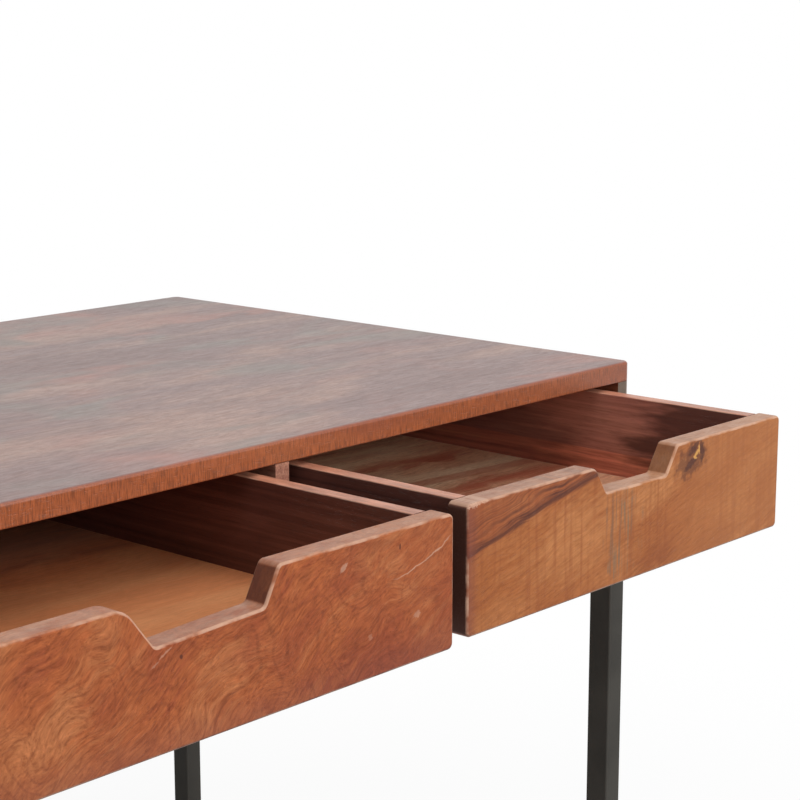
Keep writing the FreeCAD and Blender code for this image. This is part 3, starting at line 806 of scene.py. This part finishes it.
class Recipe:
    """A geometry tree with lengths, a seed and a material as inputs, and short ways to add its nodes."""

    def __init__(self, name, *lengths):
        self.tree = bpy.data.node_groups.new(name, "GeometryNodeTree")
        self.tree.is_modifier = True
        self.ids = {}
        self.tree.interface.new_socket("Geometry", in_out="OUTPUT", socket_type="NodeSocketGeometry")
        self.tree.interface.new_socket("Geometry", in_out="INPUT", socket_type="NodeSocketGeometry")
        kinds = {**dict.fromkeys(lengths, "Float"), "Seed": "Int", "Material": "Material"}
        for key, kind in kinds.items():
            socket = self.tree.interface.new_socket(key.replace("_", " "), in_out="INPUT",
                                                    socket_type="NodeSocket" + kind)
            self.ids[key] = socket.identifier
        self.entry = self.add("NodeGroupInput")
        self.exit = self.add("NodeGroupOutput")

    def add(self, kind, values=None, **settings_of_node):
        node = self.tree.nodes.new(kind)
        for key, value in settings_of_node.items():
            setattr(node, key, value)
        for key, value in (values or {}).items():
            if isinstance(value, bpy.types.NodeSocket):
                self.tree.links.new(value, node.inputs[key])
            else:
                node.inputs[key].default_value = value
        return node

    def given(self, key):
        return self.entry.outputs[key.replace("_", " ")]

    def sum(self, operation, first, second=0.0):
        return self.add("ShaderNodeMath", {0: first, 1: second}, operation=operation).outputs[0]

    def point(self, x=0.0, y=0.0, z=0.0):
        return self.add("ShaderNodeCombineXYZ", {"X": x, "Y": y, "Z": z}).outputs[0]

    def gather(self, *parts):
        node = self.add("GeometryNodeJoinGeometry")
        for part in parts:
            self.tree.links.new(part, node.inputs[0])
        return node.outputs[0]

    def move(self, geometry, place):
        return self.add("GeometryNodeTransform", {"Geometry": geometry, "Translation": place}).outputs[0]

    def finish(self, instances, material):
        """Ends the tree in real geometry with a material."""
        real = self.add("GeometryNodeRealizeInstances", {"Geometry": instances})
        dressed = self.add("GeometryNodeSetMaterial", {"Geometry": real.outputs[0], "Material": material})
        self.tree.links.new(dressed.outputs[0], self.exit.inputs[0])

    def make(self, name, points, edges, values):
        """Runs the tree on points and returns a plain mesh object."""
        seed_mesh = bpy.data.meshes.new(name + "_places")
        seed_mesh.from_pydata(points, edges, [])
        maker = bpy.data.objects.new(name + "_maker", seed_mesh)
        modifier = maker.modifiers.new("Recipe", "NODES")
        modifier.node_group = self.tree
        for key, value in values.items():
            modifier[self.ids[key]] = value
        bpy.context.scene.collection.objects.link(maker)
        evaluated = maker.evaluated_get(bpy.context.evaluated_depsgraph_get())
        mesh = bpy.data.meshes.new_from_object(evaluated)
        bpy.data.objects.remove(maker)
        bpy.data.meshes.remove(seed_mesh)
        if not mesh.polygons:
            raise RuntimeError(f"{name} came out empty")
        mesh.name = name
        made = bpy.data.objects.new(name, mesh)
        bpy.context.scene.collection.objects.link(made)
        return made


def plated(name, shade):
    """Bright zinc with fine turned lines."""
    finish = Finish(name)
    space = finish.place()
    cloud = finish.noise(finish.stretch(space, (260, 260, 260)), 3.0)
    line = finish.noise(finish.stretch(space, (300, 300, 4200)), 1.0)
    tint = finish.ramp(cloud, (0.3, [part * 0.7 for part in shade]), (0.7, shade))
    rough = finish.range(cloud, 0.3, 0.7, 0.24, 0.42)
    return finish.surface(tint, rough, finish.bump(line, 0.00002), Metallic=1.0)


class AddScrews(bpy.types.Operator):
    """Adds the screws that hold the stand to the case"""

    bl_idname = "desk.add_screws"
    bl_label = "Screws"

    END_SHARES = (0.2, 0.5, 0.8)
    BACK_SHARES = (0.15, 0.5, 0.85)

    def seats(self):
        """Where the screw heads sit, on the undersides of the rails."""
        places = []
        for start, end, shares in (("front_left_leg", "back_left_leg", self.END_SHARES),
                                   ("front_right_leg", "back_right_leg", self.END_SHARES),
                                   ("back_left_leg", "back_right_leg", self.BACK_SHARES)):
            for share in shares:
                place = middle(start).lerp(middle(end), share)
                place.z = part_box("back_rail")[0][2]
                places.append(place)
        return places

    def recipe(self):
        made = Recipe("desk_screws", "Head_width", "Head_height", "Shank_width", "Shank_length", "Slot_width")
        width, height, slot = made.given("Head_width"), made.given("Head_height"), made.given("Slot_width")
        half = made.sum("MULTIPLY", width, 0.5)
        ball = made.add("GeometryNodeMeshUVSphere", {"Segments": 32, "Rings": 24, "Radius": half}).outputs[0]
        flat = made.point(1.0, 1.0, made.sum("DIVIDE", height, half))
        dome = made.add("GeometryNodeTransform", {"Geometry": ball, "Scale": flat}).outputs[0]
        room = made.sum("MULTIPLY", width, 2.0)
        over = made.add("GeometryNodeMeshCube", {"Size": made.point(room, room, room)}).outputs[0]
        over = made.move(over, made.point(0.0, 0.0, made.sum("MULTIPLY", room, 0.5)))
        reach = made.sum("MULTIPLY", width, 0.58)
        depth = made.sum("MULTIPLY", height, 1.1)
        bars = [made.add("GeometryNodeMeshCube", {"Size": made.point(*size)}).outputs[0]
                for size in ((reach, slot, depth), (slot, reach, depth))]
        low = made.point(0.0, 0.0, made.sum("MULTIPLY", height, -1.0))
        cut = made.add("GeometryNodeMeshBoolean", {"Mesh 1": dome}, operation="DIFFERENCE", solver="EXACT")
        for tool in (over, *[made.move(bar, low) for bar in bars]):
            made.tree.links.new(tool, cut.inputs["Mesh 2"])
        shank = made.add("GeometryNodeMeshCylinder",
                         {"Vertices": 24, "Radius": made.sum("MULTIPLY", made.given("Shank_width"), 0.5),
                          "Depth": made.given("Shank_length")}).outputs[0]
        up = made.point(0.0, 0.0, made.sum("MULTIPLY", made.given("Shank_length"), 0.5))
        screw = made.gather(cut.outputs[0], made.move(shank, up))
        spin = made.add("FunctionNodeRandomValue", {"Max": (0.0, 0.0, 3.14), "Seed": made.given("Seed")},
                        data_type="FLOAT_VECTOR").outputs[0]
        points = made.add("GeometryNodeMeshToPoints", {"Mesh": made.entry.outputs[0]}).outputs[0]
        placed = made.add("GeometryNodeInstanceOnPoints", {"Points": points, "Instance": screw}).outputs[0]
        turned = made.add("GeometryNodeRotateInstances", {"Instances": placed, "Rotation": spin}).outputs[0]
        made.finish(turned, made.given("Material"))
        return made

    def execute(self, context):
        fixings, seats = context.scene.desk.fixings, self.seats()
        values = {"Head_width": fixings.head_width, "Head_height": fixings.head_height,
                  "Shank_width": fixings.shank_width,
                  "Shank_length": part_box("frame_screws")[1][2] - seats[0].z,
                  "Slot_width": fixings.slot_width, "Seed": fixings.seed,
                  "Material": plated("screw_steel", tuple(context.scene.desk.colours.zinc))}
        screws = self.recipe().make("cross_head_screws", seats, [], values)
        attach(screws, "desk")
        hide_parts("frame_screws")
        return {"FINISHED"}


class AddWelds(bpy.types.Operator):
    """Adds the welds between the legs and the rails"""

    bl_idname = "desk.add_welds"
    bl_label = "Welds"

    def seams(self, bead):
        """The lines where a rail's underside meets a leg."""
        lines = []
        for name, axis in (("left_end_rail", 1), ("right_end_rail", 1), ("back_rail", 0)):
            low, high = (Vector(corner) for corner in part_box(name))
            for end in (low[axis], high[axis]):
                line = []
                for side in (low[1 - axis] + bead / 2, high[1 - axis] - bead / 2):
                    place = Vector((0, 0, low.z))
                    place[axis], place[1 - axis] = end, side
                    line.append(place)
                lines.append(line)
        return lines

    def recipe(self):
        made = Recipe("desk_welds", "Bead_width", "Bead_step")
        line = made.add("GeometryNodeMeshToCurve", {"Mesh": made.entry.outputs[0]}).outputs[0]
        spaced = made.add("GeometryNodeCurveToPoints", {"Curve": line, "Length": made.given("Bead_step")},
                          mode="LENGTH")
        half = made.sum("MULTIPLY", made.given("Bead_width"), 0.5)
        ripple = made.add("GeometryNodeMeshUVSphere", {"Segments": 12, "Rings": 8, "Radius": half}).outputs[0]
        size = made.add("FunctionNodeRandomValue",
                        {"Min": (0.85,) * 3, "Max": (1.05,) * 3, "Seed": made.given("Seed")},
                        data_type="FLOAT_VECTOR").outputs[0]
        placed = made.add("GeometryNodeInstanceOnPoints",
                          {"Points": spaced.outputs[0], "Instance": ripple, "Scale": size})
        smooth = made.add("GeometryNodeSetShadeSmooth", {"Geometry": placed.outputs[0]})
        made.finish(smooth.outputs[0], made.given("Material"))
        return made

    def execute(self, context):
        fixings, colours = context.scene.desk.fixings, context.scene.desk.colours
        seams = self.seams(fixings.bead_width)
        points = [place for line in seams for place in line]
        edges = [(2 * number, 2 * number + 1) for number in range(len(seams))]
        values = {"Bead_width": fixings.bead_width, "Bead_step": fixings.bead_step, "Seed": fixings.seed,
                  "Material": powder_coat("painted_weld", tuple(colours.steel), STEEL_DULL)}
        welds = self.recipe().make("stand_welds", points, edges, values)
        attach(welds, "desk")
        return {"FINISHED"}


class SetStage(bpy.types.Operator):
    """Sets the floor, lights and camera"""

    bl_idname = "desk.set_stage"
    bl_label = "Stage"

    # Each lamp's name, place, width and height, and the point that all of them face, in metres.
    LAMPS = (("key", (0.35, -2.5, 2.7), 3.0, 2.4), ("low", (0.2, -3.2, 1.68), 3.0, 0.6),
             ("above", (-0.2, -0.9, 2.9), 2.4, 1.6), ("fill", (-2.4, -2.0, 1.6), 1.6, 1.6))
    AIM = (0, -0.2, 0.7)
    FLOOR_REACH = 30.0
    # How far out the floor starts to turn white and is white, in metres, and its glow before that.
    FLOOR_FADE = (0.7, 1.8)
    FLOOR_GLOW = 0.92
    SENSOR_WIDTH = 36.0

    def lamp(self, name, place, width, height, power):
        light = bpy.data.lights.new(name, "AREA")
        light.shape = "RECTANGLE"
        light.size, light.size_y = width, height
        light.energy = power
        lamp = bpy.data.objects.new(name, light)
        lamp.location = place
        lamp.rotation_euler = (Vector(self.AIM) - Vector(place)).to_track_quat("-Z", "Y").to_euler()
        bpy.context.scene.collection.objects.link(lamp)

    def seen(self, tree):
        """1 for what the camera sees straight, in a gloss or through glass."""
        path = tree.nodes.new("ShaderNodeLightPath")
        result = path.outputs["Is Camera Ray"]
        for key in ("Is Glossy Ray", "Is Transmission Ray"):
            node = tree.nodes.new("ShaderNodeMath")
            node.operation = "MAXIMUM"
            tree.links.new(result, node.inputs[0])
            tree.links.new(path.outputs[key], node.inputs[1])
            result = node.outputs[0]
        return result

    def floor(self, shade):
        finish = Finish("floor_paper")
        diffuse = finish.add("ShaderNodeBsdfDiffuse")
        finish.feed(diffuse.inputs["Color"], shade)
        glow = finish.add("ShaderNodeEmission")
        mix = finish.add("ShaderNodeMixShader")
        far = finish.ease(finish.vector("LENGTH", finish.place()), *self.FLOOR_FADE)
        seen = self.seen(finish.tree)
        glowing = finish.range(far, 0.0, 1.0, self.FLOOR_GLOW, 1.0)
        finish.feed(mix.inputs[0], finish.times(seen, glowing))
        finish.tree.links.new(diffuse.outputs[0], mix.inputs[1])
        finish.tree.links.new(glow.outputs[0], mix.inputs[2])
        output = finish.add("ShaderNodeOutputMaterial")
        finish.tree.links.new(mix.outputs[0], output.inputs["Surface"])
        reach = self.FLOOR_REACH
        mesh = bpy.data.meshes.new("floor")
        mesh.from_pydata([(-reach, -reach, 0), (reach, -reach, 0), (reach, reach, 0), (-reach, reach, 0)], [],
                         [(0, 1, 2, 3)])
        mesh.materials.append(finish.material)
        floor = bpy.data.objects.new("floor", mesh)
        bpy.context.scene.collection.objects.link(floor)

    def world(self, ambient):
        world = bpy.data.worlds.new("studio")
        world.use_nodes = True
        tree = world.node_tree
        tree.nodes.clear()
        around, white = (tree.nodes.new("ShaderNodeBackground") for _ in range(2))
        around.inputs["Color"].default_value = (1, 1, 1, 1)
        around.inputs["Strength"].default_value = ambient
        white.inputs["Color"].default_value = (1, 1, 1, 1)
        mix = tree.nodes.new("ShaderNodeMixShader")
        tree.links.new(self.seen(tree), mix.inputs[0])
        tree.links.new(around.outputs[0], mix.inputs[1])
        tree.links.new(white.outputs[0], mix.inputs[2])
        output = tree.nodes.new("ShaderNodeOutputWorld")
        tree.links.new(mix.outputs[0], output.inputs["Surface"])
        bpy.context.scene.world = world

    def execute(self, context):
        stage = context.scene.desk.stage
        self.floor(tuple(stage.floor))
        self.world(stage.ambient)
        for name, place, width, height in self.LAMPS:
            self.lamp(name, place, width, height, getattr(stage, name))
        camera = bpy.data.cameras.new("camera")
        camera.lens = stage.lens
        camera.sensor_width = self.SENSOR_WIDTH
        eye = bpy.data.objects.new("camera", camera)
        eye.location = stage.eye
        eye.rotation_euler = (math.pi / 2 - stage.tilt, 0, -stage.turn)
        context.scene.collection.objects.link(eye)
        context.scene.camera = eye
        context.scene.view_settings.view_transform = "Standard"
        return {"FINISHED"}


OPERATORS = (DressTop, DressCase, DressLeftFront, DressRightFront, DressDrawers, DressRunners, DressStand,
             AddScrews, AddWelds, SetStage)


class DeskPanel(bpy.types.Panel):
    """Lists the desk's steps and settings"""

    bl_idname = "VIEW3D_PT_desk"
    bl_label = "Campaign desk"
    bl_space_type = "VIEW_3D"
    bl_region_type = "UI"
    bl_category = "Desk"

    def draw(self, context):
        for operator in OPERATORS:
            self.layout.operator(operator.bl_idname)
        for group in (context.scene.desk.colours, context.scene.desk.grain, context.scene.desk.fixings,
                      context.scene.desk.stage):
            column = self.layout.box().column()
            for key in group.__annotations__:
                column.prop(group, key)


CLASSES = (DeskColours, DeskGrain, DeskFixings, DeskStage, DeskSettings, *OPERATORS, DeskPanel)


def register():
    for cls in CLASSES:
        bpy.utils.register_class(cls)
    bpy.types.Scene.desk = PointerProperty(type=DeskSettings)


def unregister():
    del bpy.types.Scene.desk
    for cls in reversed(CLASSES):
        bpy.utils.unregister_class(cls)


def main():
    register()
    for operator in OPERATORS:
        group, name = operator.bl_idname.split(".")
        getattr(getattr(bpy.ops, group), name)()


if __name__ == "__main__":
    main()
